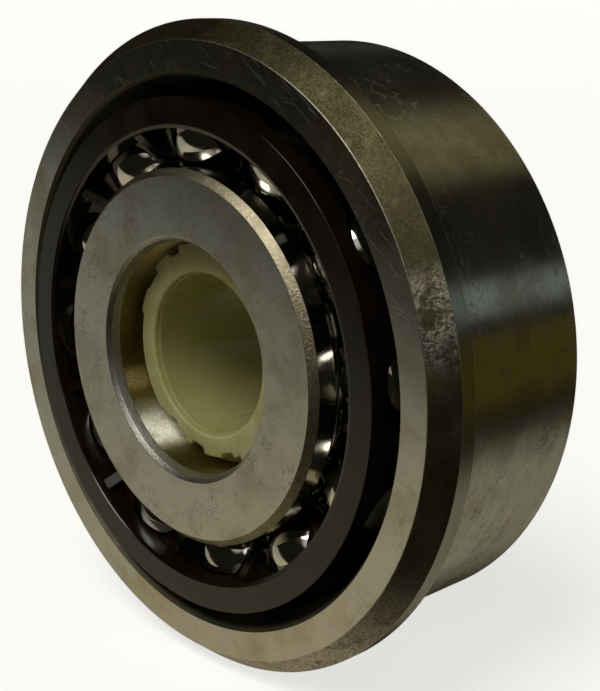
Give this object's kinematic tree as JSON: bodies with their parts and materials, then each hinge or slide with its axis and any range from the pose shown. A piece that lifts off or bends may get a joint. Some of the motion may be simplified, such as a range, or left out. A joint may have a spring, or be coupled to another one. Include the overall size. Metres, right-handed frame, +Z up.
{
  "type": "angular contact bearing",
  "caption": "Flanged angular contact ball bearing with paired ball rows, a split inner ring, polymer cages and a plastic transport sleeve in its bore.",
  "frame": {"origin": "on the bearing's axis, half way between the two rows of balls, which is the centre of its bounding box", "axes": "the bearing's axis lies along Y, the flanged front faces -Y, +Z is up in the pictured pose"},
  "size_m": [0.07, 0.0254, 0.07],
  "materials": {
    "outer_ring": "ground body and face, satin bevel, stained",
    "inner_ring": "matte ground faces, polished land and bore",
    "ball": "polished",
    "cage": "satin moulded polymer",
    "sleeve": "translucent cream plastic"
  },
  "bodies": {
    "outer": {"outer_ring": "outer_ring"},
    "inner_rings": {"inner_ring_front": "inner_ring", "inner_ring_rear": "inner_ring"},
    "sleeve": {"transport_sleeve": "sleeve"},
    "cage_front": {"cage_front": "cage"},
    "cage_rear": {"cage_rear": "cage"},
    "ball_front_01": {"ball_front_01": "ball"},
    "ball_front_02": {"ball_front_02": "ball"},
    "ball_front_03": {"ball_front_03": "ball"},
    "ball_front_04": {"ball_front_04": "ball"},
    "ball_front_05": {"ball_front_05": "ball"},
    "ball_front_06": {"ball_front_06": "ball"},
    "ball_front_07": {"ball_front_07": "ball"},
    "ball_front_08": {"ball_front_08": "ball"},
    "ball_front_09": {"ball_front_09": "ball"},
    "ball_front_10": {"ball_front_10": "ball"},
    "ball_front_11": {"ball_front_11": "ball"},
    "ball_front_12": {"ball_front_12": "ball"},
    "ball_rear_01": {"ball_rear_01": "ball"},
    "ball_rear_02": {"ball_rear_02": "ball"},
    "ball_rear_03": {"ball_rear_03": "ball"},
    "ball_rear_04": {"ball_rear_04": "ball"},
    "ball_rear_05": {"ball_rear_05": "ball"},
    "ball_rear_06": {"ball_rear_06": "ball"},
    "ball_rear_07": {"ball_rear_07": "ball"},
    "ball_rear_08": {"ball_rear_08": "ball"},
    "ball_rear_09": {"ball_rear_09": "ball"},
    "ball_rear_10": {"ball_rear_10": "ball"},
    "ball_rear_11": {"ball_rear_11": "ball"},
    "ball_rear_12": {"ball_rear_12": "ball"}
  },
  "joints": [
    {"name": "inner_spin", "type": "hinge", "parent": "outer", "child": "inner_rings", "pos_m": [0, 0, 0], "axis": [0, 1, 0], "continuous": true},
    {"name": "cage_front_spin", "type": "hinge", "parent": "outer", "child": "cage_front", "pos_m": [0, 0, 0], "axis": [0, 1, 0], "continuous": true},
    {"name": "cage_rear_spin", "type": "hinge", "parent": "outer", "child": "cage_rear", "pos_m": [0, 0, 0], "axis": [0, 1, 0], "continuous": true},
    {"name": "sleeve_push_out", "type": "slide", "parent": "inner_rings", "child": "sleeve", "axis": [0, -1, 0], "range_m": [0, 0.024]},
    {"name": "ball_front_01_roll", "type": "hinge", "parent": "cage_front", "child": "ball_front_01", "pos_m": [0.02314, -0.0057, 0.00162], "axis": [-0.4988, 0.866, -0.0349], "continuous": true},
    {"name": "ball_front_02_roll", "type": "hinge", "parent": "cage_front", "child": "ball_front_02", "pos_m": [0.01923, -0.0057, 0.01297], "axis": [-0.4145, 0.866, -0.2796], "continuous": true},
    {"name": "ball_front_03_roll", "type": "hinge", "parent": "cage_front", "child": "ball_front_03", "pos_m": [0.01017, -0.0057, 0.02085], "axis": [-0.2192, 0.866, -0.4494], "continuous": true},
    {"name": "ball_front_04_roll", "type": "hinge", "parent": "cage_front", "child": "ball_front_04", "pos_m": [-0.00162, -0.0057, 0.02314], "axis": [0.0349, 0.866, -0.4988], "continuous": true},
    {"name": "ball_front_05_roll", "type": "hinge", "parent": "cage_front", "child": "ball_front_05", "pos_m": [-0.01297, -0.0057, 0.01923], "axis": [0.2796, 0.866, -0.4145], "continuous": true},
    {"name": "ball_front_06_roll", "type": "hinge", "parent": "cage_front", "child": "ball_front_06", "pos_m": [-0.02085, -0.0057, 0.01017], "axis": [0.4494, 0.866, -0.2192], "continuous": true},
    {"name": "ball_front_07_roll", "type": "hinge", "parent": "cage_front", "child": "ball_front_07", "pos_m": [-0.02314, -0.0057, -0.00162], "axis": [0.4988, 0.866, 0.0349], "continuous": true},
    {"name": "ball_front_08_roll", "type": "hinge", "parent": "cage_front", "child": "ball_front_08", "pos_m": [-0.01923, -0.0057, -0.01297], "axis": [0.4145, 0.866, 0.2796], "continuous": true},
    {"name": "ball_front_09_roll", "type": "hinge", "parent": "cage_front", "child": "ball_front_09", "pos_m": [-0.01017, -0.0057, -0.02085], "axis": [0.2192, 0.866, 0.4494], "continuous": true},
    {"name": "ball_front_10_roll", "type": "hinge", "parent": "cage_front", "child": "ball_front_10", "pos_m": [0.00162, -0.0057, -0.02314], "axis": [-0.0349, 0.866, 0.4988], "continuous": true},
    {"name": "ball_front_11_roll", "type": "hinge", "parent": "cage_front", "child": "ball_front_11", "pos_m": [0.01297, -0.0057, -0.01923], "axis": [-0.2796, 0.866, 0.4145], "continuous": true},
    {"name": "ball_front_12_roll", "type": "hinge", "parent": "cage_front", "child": "ball_front_12", "pos_m": [0.02085, -0.0057, -0.01017], "axis": [-0.4494, 0.866, 0.2192], "continuous": true},
    {"name": "ball_rear_01_roll", "type": "hinge", "parent": "cage_rear", "child": "ball_rear_01", "pos_m": [0.02314, 0.0057, 0.00162], "axis": [0.4988, 0.866, 0.0349], "continuous": true},
    {"name": "ball_rear_02_roll", "type": "hinge", "parent": "cage_rear", "child": "ball_rear_02", "pos_m": [0.01923, 0.0057, 0.01297], "axis": [0.4145, 0.866, 0.2796], "continuous": true},
    {"name": "ball_rear_03_roll", "type": "hinge", "parent": "cage_rear", "child": "ball_rear_03", "pos_m": [0.01017, 0.0057, 0.02085], "axis": [0.2192, 0.866, 0.4494], "continuous": true},
    {"name": "ball_rear_04_roll", "type": "hinge", "parent": "cage_rear", "child": "ball_rear_04", "pos_m": [-0.00162, 0.0057, 0.02314], "axis": [-0.0349, 0.866, 0.4988], "continuous": true},
    {"name": "ball_rear_05_roll", "type": "hinge", "parent": "cage_rear", "child": "ball_rear_05", "pos_m": [-0.01297, 0.0057, 0.01923], "axis": [-0.2796, 0.866, 0.4145], "continuous": true},
    {"name": "ball_rear_06_roll", "type": "hinge", "parent": "cage_rear", "child": "ball_rear_06", "pos_m": [-0.02085, 0.0057, 0.01017], "axis": [-0.4494, 0.866, 0.2192], "continuous": true},
    {"name": "ball_rear_07_roll", "type": "hinge", "parent": "cage_rear", "child": "ball_rear_07", "pos_m": [-0.02314, 0.0057, -0.00162], "axis": [-0.4988, 0.866, -0.0349], "continuous": true},
    {"name": "ball_rear_08_roll", "type": "hinge", "parent": "cage_rear", "child": "ball_rear_08", "pos_m": [-0.01923, 0.0057, -0.01297], "axis": [-0.4145, 0.866, -0.2796], "continuous": true},
    {"name": "ball_rear_09_roll", "type": "hinge", "parent": "cage_rear", "child": "ball_rear_09", "pos_m": [-0.01017, 0.0057, -0.02085], "axis": [-0.2192, 0.866, -0.4494], "continuous": true},
    {"name": "ball_rear_10_roll", "type": "hinge", "parent": "cage_rear", "child": "ball_rear_10", "pos_m": [0.00162, 0.0057, -0.02314], "axis": [0.0349, 0.866, -0.4988], "continuous": true},
    {"name": "ball_rear_11_roll", "type": "hinge", "parent": "cage_rear", "child": "ball_rear_11", "pos_m": [0.01297, 0.0057, -0.01923], "axis": [0.2796, 0.866, -0.4145], "continuous": true},
    {"name": "ball_rear_12_roll", "type": "hinge", "parent": "cage_rear", "child": "ball_rear_12", "pos_m": [0.02085, 0.0057, -0.01017], "axis": [0.4494, 0.866, -0.2192], "continuous": true}
  ],
  "couplings": [
    {"joint": "cage_front_spin", "follows": "inner_spin", "ratio": 0.41111},
    {"joint": "cage_rear_spin", "follows": "inner_spin", "ratio": 0.41111},
    {"joint": "ball_front_01_roll", "follows": "inner_spin", "ratio": -2.3587},
    {"joint": "ball_front_02_roll", "follows": "inner_spin", "ratio": -2.3587},
    {"joint": "ball_front_03_roll", "follows": "inner_spin", "ratio": -2.3587},
    {"joint": "ball_front_04_roll", "follows": "inner_spin", "ratio": -2.3587},
    {"joint": "ball_front_05_roll", "follows": "inner_spin", "ratio": -2.3587},
    {"joint": "ball_front_06_roll", "follows": "inner_spin", "ratio": -2.3587},
    {"joint": "ball_front_07_roll", "follows": "inner_spin", "ratio": -2.3587},
    {"joint": "ball_front_08_roll", "follows": "inner_spin", "ratio": -2.3587},
    {"joint": "ball_front_09_roll", "follows": "inner_spin", "ratio": -2.3587},
    {"joint": "ball_front_10_roll", "follows": "inner_spin", "ratio": -2.3587},
    {"joint": "ball_front_11_roll", "follows": "inner_spin", "ratio": -2.3587},
    {"joint": "ball_front_12_roll", "follows": "inner_spin", "ratio": -2.3587},
    {"joint": "ball_rear_01_roll", "follows": "inner_spin", "ratio": -2.3587},
    {"joint": "ball_rear_02_roll", "follows": "inner_spin", "ratio": -2.3587},
    {"joint": "ball_rear_03_roll", "follows": "inner_spin", "ratio": -2.3587},
    {"joint": "ball_rear_04_roll", "follows": "inner_spin", "ratio": -2.3587},
    {"joint": "ball_rear_05_roll", "follows": "inner_spin", "ratio": -2.3587},
    {"joint": "ball_rear_06_roll", "follows": "inner_spin", "ratio": -2.3587},
    {"joint": "ball_rear_07_roll", "follows": "inner_spin", "ratio": -2.3587},
    {"joint": "ball_rear_08_roll", "follows": "inner_spin", "ratio": -2.3587},
    {"joint": "ball_rear_09_roll", "follows": "inner_spin", "ratio": -2.3587},
    {"joint": "ball_rear_10_roll", "follows": "inner_spin", "ratio": -2.3587},
    {"joint": "ball_rear_11_roll", "follows": "inner_spin", "ratio": -2.3587},
    {"joint": "ball_rear_12_roll", "follows": "inner_spin", "ratio": -2.3587}
  ]
}
